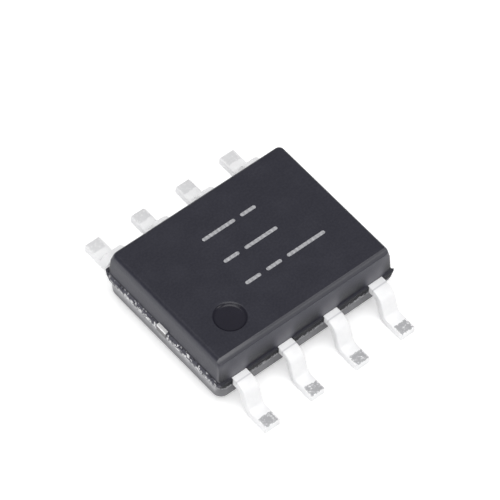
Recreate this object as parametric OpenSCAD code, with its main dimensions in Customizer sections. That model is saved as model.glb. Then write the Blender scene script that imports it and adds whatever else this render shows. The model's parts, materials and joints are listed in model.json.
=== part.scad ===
// Battery charger chip: an eight-lead integrated circuit in a moulded small-outline package.
// Millimetres, +Z up. The origin is the middle of the footprint, on the plane that the lead feet
// stand on. The two lead rows run along X. Lead 1 is at the -X, -Y corner, and the numbers go
// round the package anticlockwise, seen from above.

/* [Moulded body] */
// Length of the moulding past the middle of an end lead, at the parting rim
end_margin = 0.545; // [0.42:0.005:1.0]
// Width over the parting rim, between the lead rows
body_w = 3.9; // [3.25:0.05:5.0]
// Gap between the underside of the moulding and the board
standoff = 0.15; // [0.1:0.01:0.25]
// Height of the lower half, from the underside of the moulding to the underside of the leads
lower_h = 0.45; // [0.4:0.01:0.6]
// Height of the upper half, from the top of the leads to the top face
upper_h = 0.65; // [0.5:0.01:0.9]
// How far the parting rim stands out from both halves
rim_out = 0.05; // [0.02:0.01:0.08]
// How far the upper end walls lean in over their height
end_draft = 0.04; // [0.02:0.01:0.11]
// How far the upper side walls lean in over their height
side_draft = 0.1; // [0.04:0.01:0.11]
// How far the lower walls lean in over their height
lower_draft = 0.03; // [0.02:0.01:0.11]
// Corner radius of both halves at the parting rim
corner_r = 0.14; // [0.12:0.01:0.3]
// Corner radius of the parting rim
rim_corner_r = 0.18; // [0.02:0.01:0.25]
// Size of the bevel along the top edge above leads 1 to 4
bevel = 0.09; // [0.03:0.01:0.2]

/* [Marks in the moulding] */
// Diameter of the pin-1 dimple
dimple_d = 0.74; // [0.4:0.02:0.9]
// Depth of the pin-1 dimple
dimple_depth = 0.06; // [0.03:0.01:0.1]
// Fillet between the floor of the dimple and its wall
dimple_fillet = 0.04; // [0.01:0.01:0.05]
// Distance of the dimple's centre from the -X end of the rim
dimple_from_end = 1.02; // [0.8:0.01:1.5]
// Distance of the dimple's centre from the -Y side of the rim
dimple_from_side = 0.94; // [0.7:0.01:1.5]
// Diameter of the two ejector-pin marks in the underside
ejector_d = 0.8; // [0.4:0.05:1.2]
// Depth of the ejector-pin marks
ejector_depth = 0.03; // [0.01:0.01:0.06]
// Distance between the ejector-pin marks
ejector_spacing = 2.9; // [1.6:0.1:3.2]

/* [Leads] */
// Distance between neighbouring leads
pitch = 1.27; // [1.17:0.01:1.6]
// Width of a lead outside the moulding
lead_w = 0.4; // [0.31:0.01:0.51]
// Thickness of the lead frame
lead_t = 0.2; // [0.17:0.01:0.25]
// How far a lead reaches out from the parting rim
wing = 1.1; // [0.85:0.01:1.4]
// Flat shoulder of a lead, from the rim to its first bend
shoulder = 0.1; // [0.05:0.01:0.15]
// Angle of a lead's leg below the lead plane, in degrees
leg_angle = 70; // [60:1:80]
// Inside radius of both bends
bend_r = 0.15; // [0.08:0.01:0.2]
// Facets in each bend
bend_steps = 8; // [4:1:16]

/* [Lead fingers and die pad] */
// Length of the die pad
pad_l = 2.5; // [2.0:0.1:3.0]
// Width of the die pad
pad_w = 1.8; // [1.4:0.1:1.9]
// How far the die pad is set down below the lead plane
downset = 0.2; // [0.2:0.01:0.28]
// Slope of the set-down in the tie bars, in degrees
downset_angle = 45; // [40:1:60]
// Flat run of a tie bar at the die pad's level
tie_run = 0.1; // [0.05:0.05:0.3]
// Width of the tie bars
tie_w = 0.3; // [0.2:0.01:0.4]
// How far the cut ends of the tie bars stand out from the rim
tie_stub = 0.02; // [0.01:0.01:0.05]
// Gap between a lead finger and the die pad or a tie bar
finger_gap = 0.2; // [0.15:0.01:0.3]
// Width of the bonding end of leads 2, 3, 6 and 7
bond_end_w = 0.55; // [0.5:0.01:0.7]
// Length of the bonding end of leads 2, 3, 6 and 7
bond_end_l = 0.4; // [0.3:0.01:0.5]
// Diameter of the mould-locking holes in the blades of leads 1, 4, 5 and 8
lock_d = 0.22; // [0.1:0.01:0.25]

/* [Die and bond wires] */
// Length of the die
die_l = 1.7; // [1.2:0.1:2.0]
// Width of the die
die_w = 1.3; // [1.0:0.1:1.4]
// Thickness of the die
die_t = 0.25; // [0.15:0.01:0.3]
// Thickness of the die-attach layer
attach_t = 0.03; // [0.02:0.01:0.05]
// How far the die-attach layer shows round the die
attach_out = 0.04; // [0.02:0.01:0.1]
// Diameter of a bond wire
wire_d = 0.03; // [0.02:0.005:0.05]
// Diameter of the ball at the die end of a bond wire
ball_d = 0.08; // [0.06:0.005:0.1]
// Thickness of that ball
ball_t = 0.02; // [0.01:0.005:0.03]
// Height that a bond wire's loop aims for above the die
loop_h = 0.2; // [0.12:0.01:0.25]
// Distance of a ball from the edge of the die that its wire crosses
ball_inset = 0.1; // [0.06:0.01:0.15]
// Distance of the balls of leads 1, 4, 5 and 8 from the long edges of the die
corner_ball_inset = 0.25; // [0.2:0.01:0.4]
// Distance between the two inner balls of one row
ball_spacing = 0.6; // [0.3:0.05:0.8]
// Distance of a stitch from the edge of the lead finger that its wire crosses
stitch_inset = 0.12; // [0.08:0.01:0.2]
// Distance of the stitches of leads 1, 4, 5 and 8 from the ends of their blades
corner_stitch_inset = 0.24; // [0.15:0.01:0.4]

/* [Hidden] */
$fn = 48;
lead_count = 8;
row_count = lead_count / 2;
lead_numbers = [1 : lead_count];
// How far a cutter passes the face that it cuts
eps = 0.01;

// Length over the parting rim, along the lead rows
body_l = (row_count - 1) * pitch + 2 * end_margin;

// Levels above the board
body_z = standoff;
lead_z = standoff + lower_h;
lead_top = lead_z + lead_t;
body_top = lead_top + upper_h;
pad_z = lead_z - downset;
pad_top = pad_z + lead_t;
die_z = pad_top + attach_t;
die_top = die_z + die_t;

// Half sizes of the moulding where its halves meet the rim, and facets round each of its corners
half_l = body_l / 2 - rim_out;
half_w = body_w / 2 - rim_out;
corner_sides = 32;

// Gull-wing, by distance from the middle of the body
bend_mid_r = bend_r + lead_t / 2;
leg_drop = lead_z - 2 * bend_mid_r * (1 - cos(leg_angle));
first_bend = body_w / 2 + shoulder;
second_bend = first_bend + 2 * bend_mid_r * sin(leg_angle) + leg_drop / tan(leg_angle);
lead_tip = body_w / 2 + wing;

// Inner ends of the lead fingers
bond_end = pad_w / 2 + finger_gap;
blade_side = pad_l / 2 + finger_gap;
blade_end = tie_w / 2 + finger_gap;

// Ends of the die pad's tie bars
tie_end = body_l / 2 + tie_stub;

// Bond wire: facets, straight neck above the ball, and how a stitch is squashed and spread
wire_sides = 8;
loop_steps = 10;
neck_l = wire_d / 2;
stitch_flat = 0.5;
stitch_spread = 1.5;
// Handles of the loop's curve: the rise of the first, and how far along the run the second is
loop_rise = 1.3 * loop_h;
loop_lead = 0.4;

plastic = "#3a3a42";
tin = "#dcdcdf";
copper = "#c58a5c";
silver_epoxy = "#9a9a98";
silicon = "#565b66";
gold = "#e0b35a";

function lead_name(n) = str("lead_", n);
function wire_name(n) = str("bond_wire_", n);

// Where lead n is: its row's side (-1 or 1), its column, and its end of the row (-1 or 1)
function row_side(n) = n <= row_count ? -1 : 1;
function column(n) = n <= row_count ? n - 1 : lead_count - n;
function lead_x(n) = (column(n) - (row_count - 1) / 2) * pitch;
function end_side(n) = lead_x(n) < 0 ? -1 : 1;
function is_corner(n) = column(n) == 0 || column(n) == row_count - 1;

function arc(centre, r, from, to) = [
    for (i = [0 : bend_steps])
        let (a = from + (to - from) * i / bend_steps)
        centre + r * [cos(a), sin(a)]
];

function reversed(list) = [for (i = [len(list) - 1 : -1 : 0]) list[i]];

// Side view of a formed lead: distance from the middle of the body, then height
function lead_profile() =
    let (
        upper_centre = [first_bend, lead_z - bend_r],
        lower_centre = [second_bend, lead_t + bend_r],
        top = concat(
            [[0, lead_top]],
            arc(upper_centre, bend_r + lead_t, 90, 90 - leg_angle),
            arc(lower_centre, bend_r, 270 - leg_angle, 270),
            [[lead_tip, lead_t]]
        ),
        bottom = concat(
            [[0, lead_z]],
            arc(upper_centre, bend_r, 90, 90 - leg_angle),
            arc(lower_centre, bend_r + lead_t, 270 - leg_angle, 270),
            [[lead_tip, 0]]
        )
    )
    concat(top, reversed(bottom));

// Plan of leads 2, 3, 6 and 7 about their own middle: a bonding end that tapers to the strip
function inner_plan() =
    let (
        half = lead_w / 2,
        wide = bond_end_w / 2,
        taper = bond_end + bond_end_l,
        neck = taper + wide - half
    )
    [
        [-wide, bond_end], [wide, bond_end], [wide, taper], [half, neck],
        [half, lead_tip], [-half, lead_tip], [-half, neck], [-wide, taper]
    ];

// Plan of leads 1, 4, 5 and 8 from the middle of the package: a blade beside the die pad
function corner_plan(x) =
    let (
        inner = x - lead_w / 2,
        outer = x + lead_w / 2,
        neck = bond_end + inner - blade_side
    )
    [
        [blade_side, blade_end], [outer, blade_end], [outer, lead_tip],
        [inner, lead_tip], [inner, neck], [blade_side, bond_end]
    ];

// Carries a profile of [distance along Y, height] along X, half of it to each side
module along_x(profile, length) {
    rotate([90, 0, 90])
        translate([0, 0, -length / 2])
            linear_extrude(length) polygon(profile);
}

// Carries a profile of [distance along X, height] along Y, half of it to each side
module along_y(profile, length) {
    rotate([90, 0, 0])
        translate([0, 0, -length / 2])
            linear_extrude(length) polygon(profile);
}

// Turns what is built for the +X, +Y quarter into the quarter where lead n is
module to_quarter(n) {
    mirror([end_side(n) < 0 ? 1 : 0, 0, 0])
        mirror([0, row_side(n) < 0 ? 1 : 0, 0])
            children();
}

module lead_plan(n) {
    x = abs(lead_x(n));
    if (is_corner(n)) {
        difference() {
            polygon(corner_plan(x));
            translate([x, bond_end]) circle(d = lock_d);
        }
    } else {
        translate([x, 0]) polygon(inner_plan());
    }
}

// One formed lead: the plan of the strip, bent to its side view
module lead(n) {
    color(tin) to_quarter(n) intersection() {
        along_x(lead_profile(), 2 * body_l);
        translate([0, 0, -eps]) linear_extrude(lead_top + 2 * eps) lead_plan(n);
    }
}

// Side view of the die pad and its tie bars: distance along X, then height
function pad_profile() =
    let (
        rise = downset / tan(downset_angle),
        mitre = lead_t * tan(downset_angle / 2),
        foot = pad_l / 2 + tie_run,
        head = foot + rise
    )
    [
        [-tie_end, lead_z], [-head - mitre, lead_z], [-foot - mitre, pad_z],
        [foot + mitre, pad_z], [head + mitre, lead_z], [tie_end, lead_z],
        [tie_end, lead_top], [head, lead_top], [foot, pad_top],
        [-foot, pad_top], [-head, lead_top], [-tie_end, lead_top]
    ];

// Die pad with its two tie bars, set down between them
module die_pad() {
    color(copper) intersection() {
        along_y(pad_profile(), 2 * pad_w);
        linear_extrude(lead_top + eps) union() {
            square([pad_l, pad_w], center = true);
            square([2 * tie_end + eps, tie_w], center = true);
        }
    }
}

module plate(l, w, z, t) {
    translate([-l / 2, -w / 2, z]) cube([l, w, t]);
}

module die_attach() {
    color(silver_epoxy)
        plate(die_l + 2 * attach_out, die_w + 2 * attach_out, pad_top, attach_t);
}

module die() {
    color(silicon) plate(die_l, die_w, die_z, die_t);
}

// Bond wire of lead n: where its ball and its stitch are, in the +X, +Y quarter
function ball_at(n) = is_corner(n)
    ? [die_l / 2 - ball_inset, die_w / 2 - corner_ball_inset]
    : [ball_spacing / 2, die_w / 2 - ball_inset];
function stitch_at(n) = is_corner(n)
    ? [blade_side + stitch_inset, blade_end + corner_stitch_inset]
    : [abs(lead_x(n)), bond_end + stitch_inset];

function bezier(p, t) =
    let (s = 1 - t)
    s * s * s * p[0] + 3 * s * s * t * p[1] + 3 * s * t * t * p[2] + t * t * t * p[3];
function bezier_slope(p, t) =
    let (s = 1 - t)
    s * s * (p[1] - p[0]) + 2 * s * t * (p[2] - p[1]) + t * t * (p[3] - p[2]);

// The wire's rings in its own upright plane: [run, height, radius, flatness, slope angle]
function wire_rings(run) =
    let (
        r = wire_d / 2,
        neck = die_top + ball_t + neck_l,
        heel = lead_top + r,
        loop = [[0, neck], [0, neck + loop_rise], [loop_lead * run, neck + loop_h], [run - wire_d, heel]]
    )
    concat(
        [[0, die_top, ball_d / 2, 1, 90], [0, die_top + ball_t, ball_d / 2, 1, 90]],
        [
            for (i = [0 : loop_steps])
                let (
                    t = i / loop_steps,
                    at = bezier(loop, t),
                    slope = bezier_slope(loop, t)
                )
                [at[0], at[1], r, 1, i == 0 ? 90 : atan2(slope[1], slope[0])]
        ],
        [[run + wire_d, lead_top + r * stitch_flat, r * stitch_spread, stitch_flat / stitch_spread, 0]]
    );

// One ring's points, as [along, across, height]. None lies below the lead that it is stitched to.
function ring_points(ring) = [
    for (i = [0 : wire_sides - 1])
        let (
            a = 360 * (i + 0.5) / wire_sides,
            across = ring[2] * cos(a),
            normal = ring[2] * ring[3] * sin(a)
        )
        [
            ring[0] - normal * sin(ring[4]),
            across,
            max(lead_top, ring[1] + normal * cos(ring[4]))
        ]
];

// A tube through rings of equal counts, closed at both ends
module tube(rings) {
    sides = len(rings[0]);
    last = len(rings) - 1;
    walls = [
        for (k = [0 : last - 1])
            for (i = [0 : sides - 1])
                let (
                    j = (i + 1) % sides,
                    a = k * sides,
                    b = a + sides
                )
                each [[a + i, b + i, b + j], [a + i, b + j, a + j]]
    ];
    start = [for (i = [0 : sides - 1]) i];
    end = [for (i = [0 : sides - 1]) last * sides + sides - 1 - i];
    polyhedron([for (ring = rings) each ring], concat(walls, [start], [end]));
}

module bond_wire(n) {
    ball = ball_at(n);
    reach = stitch_at(n) - ball;
    run = norm(reach);
    color(gold) to_quarter(n)
        translate([ball[0], ball[1], 0])
            rotate([0, 0, atan2(reach[1], reach[0])])
                tube([for (ring = wire_rings(run)) ring_points(ring)]);
}

// Section of a block whose walls lean in by draft over its height
function leaning(half, draft, h) = [[-half, 0], [half, 0], [half - draft, h], [-half + draft, h]];

// A level ring of points, with its half sizes along X and Y
function oval_ring(half_x, half_y, z) = [
    for (i = [0 : corner_sides - 1])
        let (a = 360 * i / corner_sides)
        [half_x * cos(a), half_y * sin(a), z]
];

// A block whose ends and sides lean in by their own drafts, with round corners
module drafted_block(ends, sides, h) {
    core_l = half_l - corner_r;
    core_w = half_w - corner_r;
    along_x(leaning(half_w, sides, h), 2 * core_l);
    along_y(leaning(half_l, ends, h), 2 * core_w);
    for (x = [-core_l, core_l])
        for (y = [-core_w, core_w])
            translate([x, y, 0])
                tube([oval_ring(corner_r, corner_r, 0), oval_ring(corner_r - ends, corner_r - sides, h)]);
}

// The strip of moulding at the lead level, where the two mould halves meet
module parting_rim() {
    core_l = body_l / 2 - rim_corner_r;
    core_w = body_w / 2 - rim_corner_r;
    translate([0, 0, lead_z]) linear_extrude(lead_t) union() {
        square([2 * core_l, body_w], center = true);
        square([body_l, 2 * core_w], center = true);
        for (x = [-core_l, core_l])
            for (y = [-core_w, core_w])
                translate([x, y]) circle(r = rim_corner_r);
    }
}

// Cutter for the bevel along the top edge above leads 1 to 4
module bevel_cut() {
    edge = half_w - side_draft;
    along_x(
        [
            [-edge + bevel, body_top], [-edge - bevel, body_top - 2 * bevel],
            [-edge - bevel, body_top + eps], [-edge + bevel, body_top + eps]
        ],
        body_l
    );
}

// Cutter for the pin-1 dimple: a flat floor that curves up to a straight wall
module dimple_cut() {
    r = dimple_d / 2;
    translate([dimple_from_end - body_l / 2, dimple_from_side - body_w / 2, body_top - dimple_depth])
        rotate_extrude() union() {
            square([r - dimple_fillet, dimple_depth + eps]);
            translate([0, dimple_fillet]) square([r, dimple_depth - dimple_fillet + eps]);
            translate([r - dimple_fillet, dimple_fillet]) circle(r = dimple_fillet);
        }
}

module ejector_cuts() {
    for (x = [-ejector_spacing / 2, ejector_spacing / 2])
        translate([x, 0, body_z - eps])
            cylinder(d = ejector_d, h = ejector_depth + eps);
}

// Everything that the moulding is cast round
module encased_pieces() {
    for (n = lead_numbers) lead(n);
    die_pad();
    die_attach();
    die();
    for (n = lead_numbers) bond_wire(n);
}

module moulded_body() {
    color(plastic) difference() {
        union() {
            translate([0, 0, lead_top]) drafted_block(end_draft, side_draft, upper_h);
            parting_rim();
            translate([0, 0, lead_z]) mirror([0, 0, 1]) drafted_block(lower_draft, lower_draft, lower_h);
        }
        bevel_cut();
        dimple_cut();
        ejector_cuts();
        encased_pieces();
    }
}

moulded_body();
for (n = lead_numbers) lead(n);
die_pad();
die_attach();
die();
for (n = lead_numbers) bond_wire(n);
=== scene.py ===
"""Looks of a moulded small-outline chip with gull-wing leads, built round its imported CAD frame.

Pieces are modelled in millimetres on a bench and brought to metres when they are done, in the frame of the
CAD part: +Z up, the lead rows along X, lead 1 at the -X, -Y corner, and the feet on z = 0.
"""

import json
import logging
import math
from contextlib import contextmanager
from dataclasses import dataclass, field
from enum import Enum
from typing import Callable, Iterator, Optional, Sequence, Union

import bmesh
import bpy
from mathutils import Matrix, Vector


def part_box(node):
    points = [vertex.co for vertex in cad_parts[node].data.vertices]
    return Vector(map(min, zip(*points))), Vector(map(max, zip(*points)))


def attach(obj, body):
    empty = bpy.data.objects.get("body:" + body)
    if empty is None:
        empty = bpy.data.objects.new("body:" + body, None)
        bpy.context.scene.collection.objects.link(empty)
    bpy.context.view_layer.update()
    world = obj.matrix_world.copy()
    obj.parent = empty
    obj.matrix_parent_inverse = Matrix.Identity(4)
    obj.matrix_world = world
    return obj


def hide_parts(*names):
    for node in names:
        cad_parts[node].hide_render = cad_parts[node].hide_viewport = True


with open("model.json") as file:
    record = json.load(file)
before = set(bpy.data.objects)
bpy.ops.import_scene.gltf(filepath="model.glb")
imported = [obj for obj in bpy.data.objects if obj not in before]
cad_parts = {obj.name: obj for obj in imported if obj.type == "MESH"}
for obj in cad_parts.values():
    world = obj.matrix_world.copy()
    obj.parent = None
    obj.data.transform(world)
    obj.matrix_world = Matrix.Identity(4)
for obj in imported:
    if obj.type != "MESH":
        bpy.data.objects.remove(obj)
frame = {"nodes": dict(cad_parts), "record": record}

LOG = logging.getLogger("chip")
MM = 0.001
BODY = "root"
LEAD_NUMBERS = range(1, 9)
# The mean of a noise texture, and of a fraction
MIDDLE = 0.5
# Slack for tests on places, in millimetres, and the cosines above which a direction counts as an axis and
# a face as level
NEAR = 1e-3
ALONG = 0.999
LEVEL = 0.75
# How near the points of a copied CAD node are that become one, in millimetres, and the angle in degrees up to
# which its triangles become one face
MERGE = 1e-4
FLAT = 0.5

Colour = tuple[float, float, float]
Span = tuple[float, float]
FaceTest = Callable[[Vector, Vector], bool]
EdgeTest = Callable[[Vector, Vector], bool]
PointTest = Callable[[Vector], bool]


class Cut(Enum):
    """How one solid works on another."""

    UNION = "UNION"
    DIFFERENCE = "DIFFERENCE"


class Zone(Enum):
    """The finishes on the moulding, by the material slot that each takes."""

    SKIN = 0
    RIM = 1
    MARK = 2
    LASER = 3


def foot(number: int) -> Vector:
    """Middle of a lead's foot, in millimetres."""
    places = {mount["name"]: mount["pos_m"] for mount in frame["record"]["mounts"]}
    return Vector(places[f"foot_{number}"]) / MM


def node_box(node: str) -> tuple[Vector, Vector]:
    """Lowest and highest corner of a CAD node, in millimetres."""
    low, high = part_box(node)
    return low / MM, high / MM


LEAD_PITCH = foot(2).x - foot(1).x


class Value:
    """A shader socket whose arithmetic adds Math nodes to its graph."""

    def __init__(self, graph: "Graph", socket: Optional[bpy.types.NodeSocket]) -> None:
        """Wraps a socket.

        Args:
            graph: The graph that the socket belongs to.
            socket: An output socket, or nothing for a node that ends the graph.
        """
        self.graph = graph
        self.socket = socket

    def __add__(self, other: "Number") -> "Value":
        """Sum."""
        return self.graph.math("ADD", self, other)

    __radd__ = __add__

    def __mul__(self, other: "Number") -> "Value":
        """Product."""
        return self.graph.math("MULTIPLY", self, other)

    __rmul__ = __mul__

    def __sub__(self, other: "Number") -> "Value":
        """Difference."""
        return self.graph.math("SUBTRACT", self, other)

    def __rsub__(self, other: "Number") -> "Value":
        """Difference, from a number."""
        return self.graph.math("SUBTRACT", other, self)

    def __truediv__(self, other: "Number") -> "Value":
        """Quotient."""
        return self.graph.math("DIVIDE", self, other)

    def __abs__(self) -> "Value":
        """Size without sign."""
        return self.graph.math("ABSOLUTE", self)

    def fraction(self) -> "Value":
        """What is left above the next lower whole number."""
        return self.graph.math("FRACT", self)

    def between(self, span: Span) -> "Value":
        """Takes 0 to 1 to the ends of a span."""
        low, high = span
        return low + (high - low) * self

    def step(self, span: Span) -> "Value":
        """Goes smoothly from 0 at a span's first end to 1 at its second, which may be the lower one.

        Args:
            span: Where the result is 0, and where it is 1.

        Returns:
            The smooth step.
        """
        zero, one = span
        settings = {"interpolation_type": "SMOOTHSTEP"}
        feeds = {"Value": self, "From Min": min(span), "From Max": max(span)}
        feeds |= {"To Min": float(zero > one), "To Max": float(zero < one)}
        return self.graph.node("ShaderNodeMapRange", settings, feeds)


Number = Union[Value, float]


@dataclass(frozen=True)
class Place:
    """Where a point of a piece is, in millimetres."""

    vector: Value
    x: Value
    y: Value
    z: Value


@dataclass(frozen=True)
class Grain:
    """A fractal noise: its features to the millimetre, its octaves and the weight of the finer ones."""

    scale: float
    octaves: float = 3.0
    finer: float = 0.6


class Graph:
    """The node tree of one material or of the world."""

    def __init__(self, owner: Union[bpy.types.Material, bpy.types.World]) -> None:
        """Empties the owner's tree.

        Args:
            owner: The material or world to write to.
        """
        owner.use_nodes = True
        self.tree = owner.node_tree
        self.tree.nodes.clear()
        self.output = f"ShaderNodeOutput{type(owner).__name__}"

    def node(
        self,
        kind: str,
        settings: Optional[dict] = None,
        feeds: Optional[dict] = None,
        output: Union[str, int] = 0,
    ) -> Value:
        """Adds a node.

        Args:
            kind: The node's type.
            settings: Its own properties, which are set first.
            feeds: Values or links for its inputs, by their name or number.
            output: Name or number of the output that is wanted.

        Returns:
            That output.
        """
        made = self.tree.nodes.new(kind)
        for name, setting in (settings or {}).items():
            setattr(made, name, setting)
        for key, feed in (feeds or {}).items():
            socket = self._socket(made.inputs, key)
            if isinstance(feed, Value):
                self.tree.links.new(feed.socket, socket)
            else:
                socket.default_value = (*feed, 1.0) if socket.type == "RGBA" else feed
        return Value(self, self._socket(made.outputs, output) if made.outputs else None)

    @staticmethod
    def _socket(sockets: bpy.types.bpy_prop_collection, key: Union[str, int]) -> bpy.types.NodeSocket:
        """Finds a live socket by name or number."""
        live = [socket for socket in sockets if socket.enabled]
        return live[key] if isinstance(key, int) else next(socket for socket in live if socket.name == key)

    def math(self, operation: str, *operands: Number) -> Value:
        """Adds a Math node."""
        return self.node("ShaderNodeMath", {"operation": operation}, dict(enumerate(operands)))

    def blend(self, share: Number, first: Union[Value, Colour], second: Union[Value, Colour]) -> Value:
        """Mixes two colours.

        Args:
            share: 0 for the first and 1 for the second.
            first: The first colour.
            second: The second colour.

        Returns:
            The mixed colour.
        """
        feeds = {"Factor": share, "A": first, "B": second}
        return self.node("ShaderNodeMix", {"data_type": "RGBA", "clamp_factor": True}, feeds)

    def place(self) -> Place:
        """Reads the Object coordinates.

        Returns:
            The place in millimetres.
        """
        metres = self.node("ShaderNodeTexCoord", output="Object")
        feeds = {"Vector": metres, "Scale": 1.0 / MM}
        vector = self.node("ShaderNodeVectorMath", {"operation": "SCALE"}, feeds)
        split = [self.node("ShaderNodeSeparateXYZ", feeds={"Vector": vector}, output=axis) for axis in "XYZ"]
        return Place(vector, *split)

    def from_lead(self, x: Value) -> Value:
        """Distance along the lead rows from the middle of the nearest lead."""
        return abs((x / LEAD_PITCH).fraction() - MIDDLE) * LEAD_PITCH

    def noise(self, vector: Value, grain: Grain) -> Value:
        """Fractal noise around its mean."""
        feeds = {"Vector": vector, "Scale": grain.scale, "Detail": grain.octaves, "Roughness": grain.finer}
        return self.node("ShaderNodeTexNoise", feeds=feeds)

    def cells(self, vector: Value, scale: float) -> Value:
        """A level of its own for each of many small cells.

        Args:
            vector: Where to read them, in millimetres.
            scale: Cells to the millimetre.

        Returns:
            The level, from 0 to 1.
        """
        colour = self.node("ShaderNodeTexVoronoi", feeds={"Vector": vector, "Scale": scale}, output="Color")
        return self.node("ShaderNodeSeparateColor", feeds={"Color": colour})

    def bump(self, height: Value, depth: float) -> Value:
        """Turns a height of 0 to 1 into a normal.

        Args:
            height: The height.
            depth: How deep its full range is, in millimetres.

        Returns:
            The normal.
        """
        return self.node("ShaderNodeBump", feeds={"Height": height, "Distance": depth * MM})

    def surface(self, shader: Value) -> None:
        """Links a shader to the output."""
        self.node(self.output, feeds={"Surface": shader})

    def principled(self, feeds: dict) -> None:
        """Ends the graph in a Principled shader."""
        self.surface(self.node("ShaderNodeBsdfPrincipled", feeds=feeds))


@dataclass(frozen=True)
class Finish:
    """A surface finish. Each kind writes its own nodes.

    A span is a range of roughness, or it says where a layer starts and where it is full: a place in
    millimetres or a level of noise.
    """

    name: str

    def make(self) -> bpy.types.Material:
        """Makes the material, with its nodes.

        Returns:
            The material.
        """
        material = bpy.data.materials.new(self.name)
        self.write(Graph(material))
        return material

    def write(self, graph: Graph) -> None:
        """Writes the nodes of this finish."""
        raise NotImplementedError


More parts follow.
